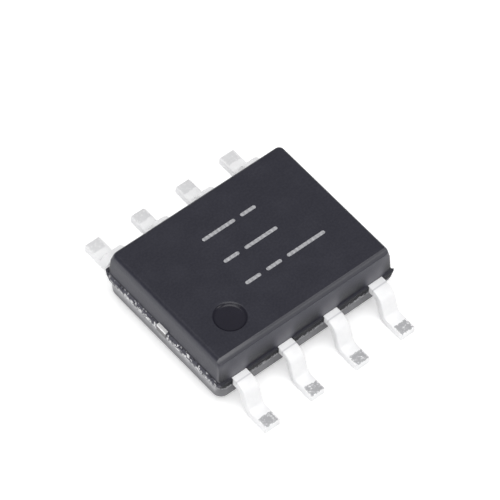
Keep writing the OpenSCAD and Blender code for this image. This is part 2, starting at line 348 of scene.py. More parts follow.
@dataclass(frozen=True)
class MouldedEpoxy(Finish):
    """Black moulding compound with the grain of its mould.

    Painted light and shade by place: walls painted lighter than the top and darker at the ends; painted light
    on the cove over leads 1 to 4, with a painted highlight on its crest; a painted reflection of each lead on
    the wall above it, painted shade between the leads and painted light at the corners; and a painted
    reflection of the floor on the lower half.
    """

    dark: Colour = (0.012, 0.012, 0.022)
    light: Colour = (0.024, 0.024, 0.036)
    cloud: Grain = Grain(1.4)
    cloud_span: Span = (0.35, 0.7)
    grain: Grain = Grain(20.0, 2.0)
    grain_span: Span = (0.3, 0.72)
    grain_share: float = 0.6
    relief: float = 0.003
    roughness: Span = (0.26, 0.40)
    refraction: float = 1.45
    # Painted reflection of the leads on the walls above them
    stain: Colour = (0.135, 0.135, 0.152)
    stain_wide: Span = (0.30, 0.12)
    stain_high: Span = (1.24, 0.80)
    stain_low: Span = (0.76, 0.80)
    stain_out: Span = (1.78, 1.84)
    # Walls: painted lighter than the top as a painted sheen, and end walls painted darker as painted shade
    wall: Colour = (0.040, 0.040, 0.056)
    end_wall: Colour = (0.019, 0.019, 0.034)
    end_wall_out: Span = (2.30, 2.36)
    wall_below: Span = (1.44, 1.38)
    # Painted light on the cove along the top edge over leads 1 to 4, with a painted highlight on its crest
    scuff: Colour = (0.055, 0.055, 0.067)
    scuff_end: Colour = (0.140, 0.140, 0.152)
    scuff_out: Span = (-1.68, -1.70)
    scuff_above: Span = (1.34, 1.37)
    scuff_along: Span = (-0.9, -2.3)
    scuff_crest: Span = (1.36, 1.42)
    # Painted reflection of the floor on the lower half, paler and spotted on its ends
    haze: Colour = (0.125, 0.125, 0.138)
    end_haze: Colour = (0.46, 0.46, 0.48)
    end_haze_out: Span = (2.36, 2.40)
    end_haze_high: Span = (0.24, 0.50)
    end_haze_spots: Grain = Grain(9.0, 3.0, 0.7)
    end_haze_worn: Span = (0.12, 0.70)
    haze_below: Span = (0.62, 0.58)
    haze_above: Span = (0.15, 0.20)
    # Painted light on the corners of the near wall
    worn_corner: Colour = (0.080, 0.080, 0.095)
    worn_end: Span = (2.00, 2.38)
    worn_side: Span = (-1.70, -1.82)
    worn_below: Span = (1.40, 1.25)
    # Painted shade between the leads
    grime: Colour = (0.010, 0.010, 0.015)
    grime_wide: Span = (0.20, 0.38)
    grime_high: Span = (1.32, 0.86)
    grime_low: Span = (0.79, 0.87)

    def write(self, graph: Graph) -> None:
        """Writes the nodes of this finish.

        Args:
            graph: The material's graph.
        """
        at = graph.place()
        grain = graph.noise(at.vector, self.grain)
        resin = self._hazed(graph, at, self._clean(graph, at, grain))
        resin = self._worn(graph, at, self._scuffed(graph, at, resin))
        graph.principled({
            "Base Color": self._stained(graph, at, resin),
            "Roughness": grain.between(self.roughness),
            "IOR": self.refraction,
            "Normal": graph.bump(grain, self.relief),
        })

    def _clean(self, graph: Graph, at: Place, grain: Value) -> Value:
        """Clean resin: clouded and grained on top, plain on the walls, which are painted lighter than the top
        as a painted sheen and darker at the ends as painted shade.

        Args:
            graph: The material's graph.
            at: The place.
            grain: The grain of the mould.

        Returns:
            The colour.
        """
        cloud = graph.noise(at.vector, self.cloud).step(self.cloud_span)
        tone = self.grain_share * grain.step(self.grain_span) + (1.0 - self.grain_share) * cloud
        # Walls painted lighter than the top as a painted sheen; end walls darker as painted shade
        wall = graph.blend(abs(at.x).step(self.end_wall_out), self.wall, self.end_wall)
        return graph.blend(at.z.step(self.wall_below), graph.blend(tone, self.dark, self.light), wall)

    def _hazed(self, graph: Graph, at: Place, resin: Value) -> Value:
        """Adds painted reflection of the floor on the lower half, which is paler and spotted on its ends.

        Args:
            graph: The material's graph.
            at: The place.
            resin: The colour so far.

        Returns:
            The colour.
        """
        # Painted reflection of the floor on the lower half
        haze = at.z.step(self.haze_below) * at.z.step(self.haze_above)
        ends = abs(at.x).step(self.end_haze_out) * at.z.step(self.end_haze_high)
        ends = ends * graph.noise(at.vector, self.end_haze_spots).step(self.end_haze_worn)
        return graph.blend(haze, resin, graph.blend(ends, self.haze, self.end_haze))

    def _scuffed(self, graph: Graph, at: Place, resin: Value) -> Value:
        """Adds painted light on the cove along the top edge over leads 1 to 4, and a painted highlight on its
        crest that is palest by lead 1.

        Args:
            graph: The material's graph.
            at: The place.
            resin: The colour so far.

        Returns:
            The colour.
        """
        # Painted highlight on the crest, over the painted light of the cove
        crest = at.x.step(self.scuff_along) * at.z.step(self.scuff_crest)
        scuff = graph.blend(crest, self.scuff, self.scuff_end)
        return graph.blend(at.y.step(self.scuff_out) * at.z.step(self.scuff_above), resin, scuff)

    def _worn(self, graph: Graph, at: Place, resin: Value) -> Value:
        """Adds painted light on the corners of the wall over leads 1 to 4.

        Args:
            graph: The material's graph.
            at: The place.
            resin: The colour so far.

        Returns:
            The colour.
        """
        # Painted light on the corners of the near wall
        corner_share = abs(at.x).step(self.worn_end) * at.y.step(self.worn_side)
        corner_share = corner_share * at.z.step(self.worn_below) * at.z.step(self.stain_low)
        return graph.blend(corner_share, resin, self.worn_corner)

    def _stained(self, graph: Graph, at: Place, resin: Value) -> Value:
        """Adds painted shade between the leads and a painted reflection of each lead on the wall above it.

        Args:
            graph: The material's graph.
            at: The place.
            resin: The colour so far.

        Returns:
            The colour.
        """
        side = abs(at.y).step(self.stain_out)
        from_lead = graph.from_lead(at.x)
        # Painted shade on the walls between the leads
        grime = from_lead.step(self.grime_wide) * side
        grime = grime * at.z.step(self.grime_high) * at.z.step(self.grime_low)
        # Painted reflection of each lead on the wall above it
        stain = from_lead.step(self.stain_wide) * side
        stain = stain * at.z.step(self.stain_high) * at.z.step(self.stain_low)
        return graph.blend(stain, graph.blend(grime, resin, self.grime), self.stain)


@dataclass(frozen=True)
class RimResin(Finish):
    """The rim at the parting line: dull resin with painted light on its ledge, a painted highlight along its
    lip of flash, and ends broken to bare filler with painted glints and painted shade in the crevice under
    the wall.
    """

    resin: Colour = (0.006, 0.006, 0.010)
    # Painted light on the level ledge of the rim
    ledge: Colour = (0.038, 0.038, 0.047)
    ledge_above: Span = (0.782, 0.796)
    torn: Colour = (0.080, 0.080, 0.100)
    # Painted highlight along the lip of flash
    flash: Colour = (0.36, 0.36, 0.375)
    # Bare filler on the broken ends, partly white filler and partly painted glints
    filler: Colour = (0.78, 0.78, 0.79)
    ends: Span = (2.400, 2.425)
    chips: Grain = Grain(14.0, 4.0, 0.7)
    patch: Grain = Grain(3.2)
    glints: float = 20.0
    ragged: float = 0.16
    crumbs: float = 0.05
    lip: Span = (0.675, 0.620)
    lip_chips: Span = (0.15, 0.6)
    band: Span = (0.70, 0.62)
    band_kept: Span = (0.36, 0.53)
    dots: Span = (0.86, 0.90)
    dots_below: Span = (0.82, 0.72)
    # Painted shade in the crevice where the broken ends meet the wall
    pits: Span = (0.55, 0.60)
    pits_above: Span = (0.70, 0.76)
    fade: float = 0.5
    fade_span: Span = (1.2, 1.9)
    relief: float = 0.015
    roughness: Span = (0.6, 0.4)
    gloss: float = 0.3

    def write(self, graph: Graph) -> None:
        """Writes the nodes of this finish.

        Args:
            graph: The material's graph.
        """
        at = graph.place()
        chips = graph.noise(at.vector, self.chips)
        patch = graph.noise(at.vector, self.patch)
        glint = graph.cells(at.vector, self.glints)
        ends = abs(at.x).step(self.ends)
        height = at.z + self.ragged * (patch - MIDDLE) + self.crumbs * (glint - MIDDLE)
        # Painted highlight along the lip of flash on the long sides
        lip = height.step(self.lip) * chips.step(self.lip_chips)
        # On the ends: bare filler, whose band and dots are partly painted glints
        band = height.step(self.band) * chips.step(self.band_kept)
        dots = glint.step(self.dots) * at.z.step(self.dots_below)
        bare = graph.math("MAXIMUM", band, dots) * (1.0 - self.fade * abs(at.y).step(self.fade_span))
        bright = ends * bare + (1.0 - ends) * lip
        # Painted shade in the crevice where the broken ends meet the wall
        pits = chips.step(self.pits) * at.z.step(self.pits_above)
        # Painted light on the level ledge
        resin = graph.blend(at.z.step(self.ledge_above), self.resin, self.ledge)
        dull = graph.blend(ends * (1.0 - pits), resin, self.torn)
        graph.principled({
            "Base Color": graph.blend(bright, dull, graph.blend(ends, self.flash, self.filler)),
            "Roughness": bright.between(self.roughness),
            "Specular IOR Level": self.gloss,
            "Normal": graph.bump(chips, self.relief),
        })


@dataclass(frozen=True)
class SmoothResin(Finish):
    """The polished floor of a mould mark, painted darker than the moulding's resin as painted shade."""

    # Darker than the moulding's resin: painted shade
    dark: Colour = (0.0030, 0.0025, 0.0095)
    light: Colour = (0.0060, 0.0050, 0.0150)
    specks: Grain = Grain(9.0)
    relief: float = 0.001
    roughness: Span = (0.2, 0.3)
    gloss: float = 0.4

    def write(self, graph: Graph) -> None:
        """Writes the nodes of this finish.

        Args:
            graph: The material's graph.
        """
        speck = graph.noise(graph.place().vector, self.specks)
        graph.principled({
            "Base Color": graph.blend(speck, self.dark, self.light),
            "Roughness": speck.between(self.roughness),
            "Specular IOR Level": self.gloss,
            "Normal": graph.bump(speck, self.relief),
        })


@dataclass(frozen=True)
class LaserMark(Finish):
    """Resin that a laser has frosted in fine passes."""

    burnt: Colour = (0.24, 0.24, 0.255)
    frosted: Colour = (0.50, 0.50, 0.52)
    passes: float = 18.0
    waver: float = 1.2
    hatch_share: float = 0.35
    specks: Grain = Grain(22.0, 3.0, 0.7)
    speck_span: Span = (0.25, 0.7)
    relief: float = 0.004
    roughness: Span = (0.75, 0.9)

    def write(self, graph: Graph) -> None:
        """Writes the nodes of this finish.

        Args:
            graph: The material's graph.
        """
        vector = graph.place().vector
        settings = {"wave_type": "BANDS", "bands_direction": "X"}
        feeds = {"Vector": vector, "Scale": self.passes / math.tau, "Distortion": self.waver}
        hatch = graph.node("ShaderNodeTexWave", settings, feeds, "Fac")
        speck = graph.noise(vector, self.specks)
        level = self.hatch_share * hatch + (1.0 - self.hatch_share) * speck.step(self.speck_span)
        graph.principled({
            "Base Color": graph.blend(level, self.burnt, self.frosted),
            "Roughness": speck.between(self.roughness),
            "Normal": graph.bump(level, self.relief),
        })


@dataclass(frozen=True)
class MatteTin(Finish):
    """Matte tin plate, with painted shade along the first bend and grey patches on the flats of the feet."""

    tin: Colour = (0.95, 0.95, 0.955)
    shade: Colour = (0.89, 0.89, 0.90)
    # Painted shade along the first bend
    crease: Colour = (0.70, 0.70, 0.72)
    rubbed: Colour = (0.40, 0.40, 0.415)
    metal: float = 0.05
    roughness: Span = (0.36, 0.5)
    grain: Grain = Grain(30.0)
    cloud: Grain = Grain(4.0)
    cloud_span: Span = (0.35, 0.7)
    cloud_share: float = 0.6
    relief: float = 0.003
    crease_at: float = 2.06
    crease_width: Span = (0.030, 0.005)
    crease_above: Span = (0.70, 0.76)
    rub_out: float = 2.90
    rub_long: Span = (0.150, 0.125)
    rub_wide: Span = (0.180, 0.150)
    rub_flat: Span = (0.02, 0.01)
    rub_edge: Grain = Grain(14.0, 4.0, 0.7)
    rub_ragged: float = 0.20
    rub_worn: Span = (0.25, 0.50)
    foot_top: float = 0.2
    far_share: float = 0.35
    far_side: Span = (-1.0, 1.0)

    def write(self, graph: Graph) -> None:
        """Writes the nodes of this finish.

        Args:
            graph: The material's graph.
        """
        at = graph.place()
        grain = graph.noise(at.vector, self.grain)
        cloud = graph.noise(at.vector, self.cloud).step(self.cloud_span)
        tone = self.cloud_share * cloud + (1.0 - self.cloud_share) * grain
        plate = graph.blend(tone, self.shade, self.tin)
        # Painted shade along the first bend
        crease = abs(abs(at.y) - self.crease_at).step(self.crease_width) * at.z.step(self.crease_above)
        plate = graph.blend(crease, plate, self.crease)
        graph.principled({
            "Base Color": graph.blend(self._rub(graph, at), plate, self.rubbed),
            "Metallic": self.metal,
            "Roughness": grain.between(self.roughness),
            "Normal": graph.bump(grain, self.relief),
        })

    def _rub(self, graph: Graph, at: Place) -> Value:
        """The share of grey patch on the flats of the feet: ragged patches, weaker on the far row.

        Args:
            graph: The material's graph.
            at: The place.

        Returns:
            The share of rubbed plate.
        """
        patch_noise = graph.noise(at.vector, self.rub_edge)
        edge = self.rub_ragged * (patch_noise - MIDDLE)
        out = abs(abs(at.y) - self.rub_out)
        patch_share = (graph.from_lead(at.x) + edge).step(self.rub_wide) * (out + edge).step(self.rub_long)
        patch_share = patch_share * abs(at.z - self.foot_top).step(self.rub_flat) * patch_noise.step(self.rub_worn)
        return patch_share * (1.0 - (1.0 - self.far_share) * at.y.step(self.far_side))


@dataclass(frozen=True)
class StampedCopper(Finish):
    """Bare lead-frame copper. The cut ends of the tie bars are tinned, bright above and torn below."""

    copper: Colour = (0.62, 0.30, 0.17)
    dull: Colour = (0.42, 0.21, 0.13)
    tin: Colour = (0.92, 0.92, 0.92)
    torn: Colour = (0.16, 0.155, 0.16)
    tinned: Span = (2.36, 2.37)
    tinned_metal: Span = (1.0, 0.3)
    tear: Span = (0.725, 0.755)
    ragged: float = 0.06
    cloud: Grain = Grain(3.0, 4.0)
    grain: Grain = Grain(18.0)
    relief: float = 0.002
    roughness: Span = (0.3, 0.5)

    def write(self, graph: Graph) -> None:
        """Writes the nodes of this finish.

        Args:
            graph: The material's graph.
        """
        at = graph.place()
        cloud = graph.noise(at.vector, self.cloud)
        height = at.z + self.ragged * (graph.noise(at.vector, self.grain) - MIDDLE)
        cut = graph.blend(height.step(self.tear), self.torn, self.tin)
        ends = abs(at.x).step(self.tinned)
        graph.principled({
            "Base Color": graph.blend(ends, graph.blend(cloud, self.dull, self.copper), cut),
            "Metallic": ends.between(self.tinned_metal),
            "Roughness": cloud.between(self.roughness),
            "Normal": graph.bump(cloud, self.relief),
        })


@dataclass(frozen=True)
class Grained(Finish):
    """A plain inner material: two tones of one colour, with its own gloss."""

    colour: Colour
    metallic: float
    roughness: Span
    cloud: Grain
    shade: float = 0.7
    relief: float = 0.001

    def write(self, graph: Graph) -> None:
        """Writes the nodes of this finish.

        Args:
            graph: The material's graph.
        """
        cloud = graph.noise(graph.place().vector, self.cloud)
        darker = tuple(self.shade * level for level in self.colour)
        graph.principled({
            "Base Color": graph.blend(cloud, darker, self.colour),
            "Metallic": self.metallic,
            "Roughness": cloud.between(self.roughness),
            "Normal": graph.bump(cloud, self.relief),
        })


SKIN = MouldedEpoxy("moulded_epoxy")
RIM = RimResin("rim_resin")
MARK = SmoothResin("smooth_resin")
LASER = LaserMark("laser_mark")
TIN = MatteTin("matte_tin")
COPPER = StampedCopper("stamped_copper")
SILVER_EPOXY = Grained("silver_epoxy", (0.5, 0.5, 0.48), 0.4, (0.55, 0.65), Grain(24.0))
SILICON = Grained("polished_silicon", (0.13, 0.14, 0.17), 0.7, (0.12, 0.22), Grain(6.0))
GOLD = Grained("gold_wire", (0.83, 0.58, 0.20), 1.0, (0.22, 0.32), Grain(40.0))


def clear_selection() -> None:
    """Leaves nothing selected."""
    bpy.ops.object.select_all(action="DESELECT")


@dataclass
class Bench:
    """One solid on the bench, in millimetres."""

    solid: bpy.types.Object

    @classmethod
    def box(cls, name: str, low: Vector, high: Vector) -> "Bench":
        """Adds a box between two corners.

        Args:
            name: Its name.
            low: Its lowest corner.
            high: Its highest corner.

        Returns:
            The box on its bench.
        """
        clear_selection()
        bpy.ops.mesh.primitive_cube_add(size=1.0, location=(low + high) / 2, scale=high - low)
        return cls._take(name)

    @classmethod
    def drum(cls, name: str, centre: Vector, radius: float, height: float, sides: int) -> "Bench":
        """Adds an upright cylinder that stands on a point.

        Args:
            name: Its name.
            centre: The middle of its foot.
            radius: Its radius.
            height: Its height.
            sides: How many sides it has.

        Returns:
            The cylinder on its bench.
        """
        clear_selection()
        middle = centre + Vector((0.0, 0.0, height / 2))
        bpy.ops.mesh.primitive_cylinder_add(vertices=sides, radius=radius, depth=height, location=middle)
        return cls._take(name)

    @classmethod
    def rod(cls, name: str, start: Vector, radius: float, length: float, sides: int) -> "Bench":
        """Adds a cylinder that lies along X from a point.

        Args:
            name: Its name.
            start: The middle of its -X end.
            radius: Its radius.
            length: Its length.
            sides: How many sides it has.

        Returns:
            The cylinder on its bench.
        """
        clear_selection()
        bpy.ops.mesh.primitive_cylinder_add(
            vertices=sides,
            radius=radius,
            depth=length,
            location=start + Vector((length / 2, 0.0, 0.0)),
            rotation=(0.0, math.pi / 2, 0.0),
        )
        return cls._take(name)

    @classmethod
    def copy_of(cls, node: str, name: str) -> "Bench":
        """Copies a CAD node in millimetres, with its loose triangles merged into faces.

        Args:
            node: The node to copy.
            name: The copy's name.

        Returns:
            The copy on its bench.
        """
        solid = bpy.data.objects.new(name, frame["nodes"][node].data.copy())
        bpy.context.scene.collection.objects.link(solid)
        solid.scale = (1.0 / MM,) * 3
        cls(solid).activate()
        bench = cls._take(name)
        with bench.editing():
            bpy.ops.mesh.select_all(action="SELECT")
            bpy.ops.mesh.remove_doubles(threshold=MERGE)
            bpy.ops.mesh.dissolve_limited(angle_limit=math.radians(FLAT))
        return bench

    @classmethod
    def _take(cls, name: str) -> "Bench":
        """Names the active object and fixes its place in its mesh.

        Args:
            name: Its name.

        Returns:
            The object on its bench.
        """
        solid = bpy.context.view_layer.objects.active
        solid.name = solid.data.name = name
        bpy.ops.object.transform_apply(location=True, rotation=True, scale=True)
        return cls(solid)

    def activate(self) -> None:
        """Leaves this solid alone selected, and active."""
        clear_selection()
        self.solid.select_set(True)
        bpy.context.view_layer.objects.active = self.solid

    @contextmanager
    def editing(self) -> Iterator[None]:
        """Edit mode on this solid alone, for as long as the block under it runs.

        Yields:
            Nothing.
        """
        self.activate()
        bpy.ops.object.mode_set(mode="EDIT")
        try:
            yield
        finally:
            bpy.ops.object.mode_set(mode="OBJECT")

    def pick_faces(self, test: FaceTest) -> None:
        """Selects faces, in edit mode.

        Args:
            test: Takes a face's middle and its normal.
        """
        mesh = self._unpicked("FACE")
        mesh.normal_update()
        for face in mesh.faces:
            face.select_set(test(face.calc_center_median(), face.normal))
        bmesh.update_edit_mesh(self.solid.data)

    def pick_edges(self, test: EdgeTest) -> None:
        """Selects edges, in edit mode.

        Args:
            test: Takes an edge's middle and its direction.
        """
        for edge in self._unpicked("EDGE").edges:
            start, end = (vertex.co for vertex in edge.verts)
            if test((start + end) / 2, (end - start).normalized()):
                edge.select_set(True)
        bmesh.update_edit_mesh(self.solid.data)

    def pick_points(self, test: PointTest) -> None:
        """Selects points, in edit mode.

        Args:
            test: Takes a point's place.
        """
        for point in self._unpicked("VERT").verts:
            point.select_set(test(point.co))
        bmesh.update_edit_mesh(self.solid.data)

    def _unpicked(self, mode: str) -> bmesh.types.BMesh:
        """Sets what is picked next, with nothing selected.

        Args:
            mode: The kind of element to pick.

        Returns:
            The mesh in edit mode.
        """
        bpy.ops.mesh.select_mode(type=mode)
        bpy.ops.mesh.select_all(action="DESELECT")
        return bmesh.from_edit_mesh(self.solid.data)

    def round_upright_edges(self, radius: float, segments: int) -> None:
        """Rounds the vertical edges.

        Args:
            radius: Their radius.
            segments: How many faces go round each.
        """
        with self.editing():
            self.pick_edges(lambda middle, along: abs(along.z) > ALONG)
            bpy.ops.mesh.bevel(offset=radius, segments=segments, affect="EDGES")

    def apply(self, kind: str, **settings: object) -> None:
        """Adds a modifier and applies it.

        Args:
            kind: The modifier's type.
            **settings: Its properties.
        """
        modifier = self.solid.modifiers.new(kind.lower(), kind)
        for name, setting in settings.items():
            setattr(modifier, name, setting)
        self.activate()
        bpy.ops.object.modifier_apply(modifier=modifier.name)

    def work(self, tool: "Bench", cut: Cut) -> None:
        """Joins or cuts this solid with another, which is used up.

        Args:
            tool: The other solid.
            cut: Whether it joins or cuts.
        """
        self.apply("BOOLEAN", operation=cut.value, object=tool.solid, solver="EXACT")
        mesh = tool.solid.data
        bpy.data.objects.remove(tool.solid)
        bpy.data.meshes.remove(mesh)

    def paint(self, zone: Zone, test: FaceTest) -> None:
        """Gives the faces that pass a test a zone's material.

        Args:
            zone: The zone.
            test: Takes a face's middle and its normal.
        """
        with self.editing():
            self.pick_faces(test)
            self.solid.active_material_index = zone.value
            bpy.ops.object.material_slot_assign()

    def done(self, smooth_below: float) -> bpy.types.Object:
        """Brings the solid to metres and smooths it.

        Args:
            smooth_below: Edges that turn by less than this many degrees are shaded smooth.

        Returns:
            The finished piece.
        """
        with self.editing():
            bpy.ops.mesh.select_all(action="SELECT")
            bpy.ops.mesh.normals_make_consistent(inside=False)
        self.activate()
        self.solid.scale = (MM,) * 3
        bpy.ops.object.transform_apply(location=True, rotation=True, scale=True)
        bpy.ops.object.shade_smooth_by_angle(angle=math.radians(smooth_below))
        self.apply("WEIGHTED_NORMAL", keep_sharp=True)
        return self.solid


def dress(piece: bpy.types.Object, finishes: Sequence[Finish]) -> None:
    """Replaces a piece's materials.

    Args:
        piece: The piece.
        finishes: Its finishes, in the order of its material slots.
    """
    piece.data.materials.clear()
    for finish in finishes:
        piece.data.materials.append(bpy.data.materials.get(finish.name) or finish.make())


def seat(piece: bpy.types.Object, node: str) -> None:
    """Lets a new piece stand for a CAD node.

    Args:
        piece: The piece.
        node: The node that it replaces.
    """
    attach(piece, BODY)
    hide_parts(node)


@dataclass(frozen=True)
class MarkRow:
    """A row of laser bars on the top face: where it starts and how long its bars are."""

    x: float
    y: float
    lengths: tuple[float, ...]


@dataclass
class Moulding:
    """The black moulding: two drafted halves, the rim between them, and the marks in its faces.

    Sizes are in millimetres, and smooth_below in degrees.
    """

    # The two halves and their edges
    rim_out: float = 0.05
    end_draft: float = 0.05
    side_draft: float = 0.10
    far_side_out: float = 0.032
    far_end_out: float = 0.012
    waist_rise: float = 0.65
    waist_draft: float = 0.015
    waist_corner: float = 0.06
    lower_end_draft: float = 0.012
    lower_side_draft: float = 0.03
    top_corner: float = 0.16
    ledge_corner: float = 0.08
    lower_corner: float = 0.22
    corner_segments: int = 10
    lap: float = 0.01
    cove_radius: float = 0.12
    cove_out: float = 0.015
    cove_up: float = 0.025
    brink_round: float = 0.09
    brink_segments: int = 6
    foot_round: float = 0.05
    round_segments: int = 3
    # The broken rim and its flash
    ledge_slope: float = 0.08
    end_roughness: float = 0.010
    end_seed: int = 3
    side_roughness: float = 0.007
    side_seed: int = 5
    break_outward: float = 0.8
    long_cuts: int = 76
    short_cuts: int = 60
    rim_levels: tuple[float, ...] = (0.012, 0.036, 0.07, 0.10)
    flash_out: float = 0.008
    flash_roughness: float = 0.005
    flash_outward: float = 0.5
    flash_seed: int = 7
    # The dimple and the ejector marks
    dimple_at: Span = (-1.43, -1.01)
    dimple_radius: float = 0.35
    dimple_depth: float = 0.05
    dimple_run: float = 0.05
    dimple_round: float = 0.033
    dimple_segments: int = 4
    ejector_at: float = 1.45
    ejector_radius: float = 0.4
    ejector_depth: float = 0.03
    drum_sides: int = 64
    # The slots that the leads and the tie bars come through
    lead_width: float = 0.4
    lead_thickness: float = 0.2
    tie_width: float = 0.3
    slack: float = 0.004
    over: float = 0.03
    # The laser bars
    mark_depth: float = 0.004
    mark_height: float = 0.09
    mark_gap: float = 0.16
    mark_segments: int = 6
    mark_rows: tuple[MarkRow, ...] = (
        MarkRow(-0.62, 0.88, (0.9, 0.42)),
        MarkRow(-0.62, 0.16, (0.42, 0.9)),
        MarkRow(-0.62, -0.56, (0.42, 0.42, 1.05)),
    )
    smooth_below: float = 32.0
    # Read from the frame
    low: Vector = field(init=False)
    high: Vector = field(init=False)
    core: Vector = field(init=False)
    lead_low: float = field(init=False)
    lead_high: float = field(init=False)

    def __post_init__(self) -> None:
        """Reads the overall sizes from the frame."""
        self.low, self.high = node_box("moulded_body")
        self.core = self.high.xy - Vector((self.rim_out, self.rim_out))
        self.lead_high = node_box("lead_1")[1].z
        self.lead_low = self.lead_high - self.lead_thickness

    def build(self) -> bpy.types.Object:
        """Models the moulding.

        Returns:
            The finished piece.
        """
        body = self._halves()
        self._break_rim(body)
        for tool in (*self._notches(), *self._marks()):
            body.work(tool, Cut.DIFFERENCE)
        dress(body.solid, (SKIN, RIM, MARK, LASER))
        self._paint(body)
        piece = body.done(self.smooth_below)
        seat(piece, "moulded_body")
        return piece

    def _halves(self) -> Bench:
        """The two halves and the rim between them.

        Returns:
            The three in one solid.
        """
        body = self._upper()
        body.work(self._rim(), Cut.UNION)
        body.work(self._lower(), Cut.UNION)
        return body

    def _upper(self) -> Bench:
        """The upper half: sharp upright edges that soften towards the top, and the cove over leads 1 to 4.

        Returns:
            The half on its bench.
        """
        start = self.lead_high - self.lap
        upper = self._block("package_moulding", self.core, (start, self.high.z), self.top_corner)
        with upper.editing():
            self._set_corners(upper, self.core, start, self.top_corner, self.ledge_corner)
            self._lean(upper, self.high.z, self.end_draft, self.side_draft)
            self._swell(upper, start)
            self._widen(upper, start)
            upper.pick_edges(lambda middle, along: abs(middle.z - self.high.z) < NEAR)
            bpy.ops.mesh.bevel(offset=self.brink_round, segments=self.brink_segments, affect="EDGES")
        upper.work(self._cove(), Cut.DIFFERENCE)
        return upper

    def _swell(self, upper: Bench, start: float) -> None:
        """Adds a waist to the upper half, in edit mode, up to which its ends and corners stay upright.

        Args:
            upper: The upper half.
            start: The height of its foot.
        """
        share = self.waist_rise
        level = start + share * (self.high.z - start)
        half = self.core - share * Vector((self.end_draft, self.side_draft))
        corner = self.ledge_corner + share * (self.top_corner - self.ledge_corner)
        bpy.ops.mesh.select_all(action="SELECT")
        bpy.ops.mesh.bisect(plane_co=(0.0, 0.0, level), plane_no=(0.0, 0.0, 1.0))
        self._set_corners(upper, half, level, corner, self.waist_corner)
        upper.pick_points(lambda at: abs(at.z - level) < NEAR)
        wider = (self.core.x - self.waist_draft) / half.x
        bpy.ops.transform.resize(value=(wider, 1.0, 1.0), center_override=(0.0, 0.0, level))

    def _widen(self, upper: Bench, start: float) -> None:
        """Moves the upper half's far walls out, in edit mode, so that they lean less than the near ones.

        Args:
            upper: The upper half, with its waist.
            start: The height of its foot.
        """
        for share in (self.waist_rise, 1.0):
            level = start + share * (self.high.z - start)
            upper.pick_points(lambda at: abs(at.z - level) < NEAR and at.y > 0.0)
            bpy.ops.transform.translate(value=(0.0, share * self.far_side_out, 0.0))
        upper.pick_points(lambda at: abs(at.z - self.high.z) < NEAR and at.x > 0.0)
        bpy.ops.transform.translate(value=(self.far_end_out, 0.0, 0.0))

    def _cove(self) -> Bench:
        """A cutter for the cove along the top edge over leads 1 to 4.

        Returns:
            The cutter.
        """
        brink = self.side_draft - self.core.y
        reach = self.high.x + self.over
        start = Vector((-reach, brink - self.cove_out, self.high.z + self.cove_up))
        return Bench.rod("cove", start, self.cove_radius, 2 * reach, self.drum_sides)

    def _rim(self) -> Bench:
        """The rim: sharp corners on its upper edge, round ones below.

        Returns:
            The rim on its bench.
        """
        rim = self._block("rim", self.high.xy, (self.lead_low, self.lead_high), self.lower_corner)
        with rim.editing():
            self._set_corners(rim, self.high.xy, self.lead_high, self.lower_corner, self.ledge_corner)
        return rim

    def _lower(self) -> Bench:
        """The lower half, with round corners and a rounded lower edge.

        Returns:
            The half on its bench.
        """
        levels = (self.low.z, self.lead_low + self.lap)
        lower = self._block("lower_half", self.core, levels, self.lower_corner)
        with lower.editing():
            self._lean(lower, self.low.z, self.lower_end_draft, self.lower_side_draft)
            lower.pick_edges(lambda middle, along: abs(middle.z - self.low.z) < NEAR)
            bpy.ops.mesh.bevel(offset=self.foot_round, segments=self.round_segments, affect="EDGES")
        return lower

    def _block(self, name: str, half: Vector, levels: Span, corner: float) -> Bench:
        """An upright block about the middle, with rounded corners.

        Args:
            name: Its name.
            half: Half its length and width.
            levels: The heights of its underside and top.
            corner: The radius of its corners.

        Returns:
            The block on its bench.
        """
        low, high = levels
        block = Bench.box(name, Vector((*-half, low)), Vector((*half, high)))
        block.round_upright_edges(corner, self.corner_segments)
        return block

    @staticmethod
    def _set_corners(block: Bench, half: Vector, level: float, old: float, new: float) -> None:
        """Changes the radius of a block's corners at one height, in edit mode.

        Args:
            block: The block.
            half: Half its length and width.
            level: The height.
            old: The radius that the corners have.
            new: The radius that they get at that height.
        """
        reach = Vector((old, old, 0.0)) + Vector((NEAR, NEAR, NEAR))
        for corner in (Vector((x, y, level)) for x in (-half.x, half.x) for y in (-half.y, half.y)):
            block.pick_points(lambda at: all(abs(off) < most for off, most in zip(at - corner, reach)))
            bpy.ops.transform.resize(value=(new / old, new / old, 1.0), center_override=corner)

    def _lean(self, block: Bench, level: float, ends: float, sides: float) -> None:
        """Draws a block's face in, in edit mode, so that its walls lean.

        Args:
            block: The block.
            level: The face's height.
            ends: How far the end walls lean in.
            sides: How far the side walls lean in.
        """
        shrink = (1.0 - ends / self.core.x, 1.0 - sides / self.core.y, 1.0)
        block.pick_points(lambda at: abs(at.z - level) < NEAR)
        bpy.ops.transform.resize(value=shrink, center_override=(0.0, 0.0, level))

    def _break_rim(self, body: Bench) -> None:
        """Presses a fin of flash out of the rim, breaks its ends and chips its sides.

        Args:
            body: The two halves with the rim.
        """
        with body.editing():
            self._divide_rim(body)
            body.pick_faces(self._is_flash)
            bpy.ops.mesh.extrude_region_shrink_fatten(TRANSFORM_OT_shrink_fatten={"value": self.flash_out})
            self._roughen(self.flash_roughness, self.flash_outward, self.flash_seed)
            body.pick_points(lambda at: abs(at.z - self.lead_high) < NEAR and abs(at.x) > self.high.x - NEAR)
            bpy.ops.transform.translate(value=(0.0, 0.0, -self.ledge_slope))
            body.pick_points(self._is_end_point)
            self._roughen(self.end_roughness, self.break_outward, self.end_seed)
            body.pick_points(self._is_side_point)
            self._roughen(self.side_roughness, self.break_outward, self.side_seed)
            body.pick_faces(lambda middle, normal: self._on_rim(middle.z))
            bpy.ops.mesh.quads_convert_to_tris()

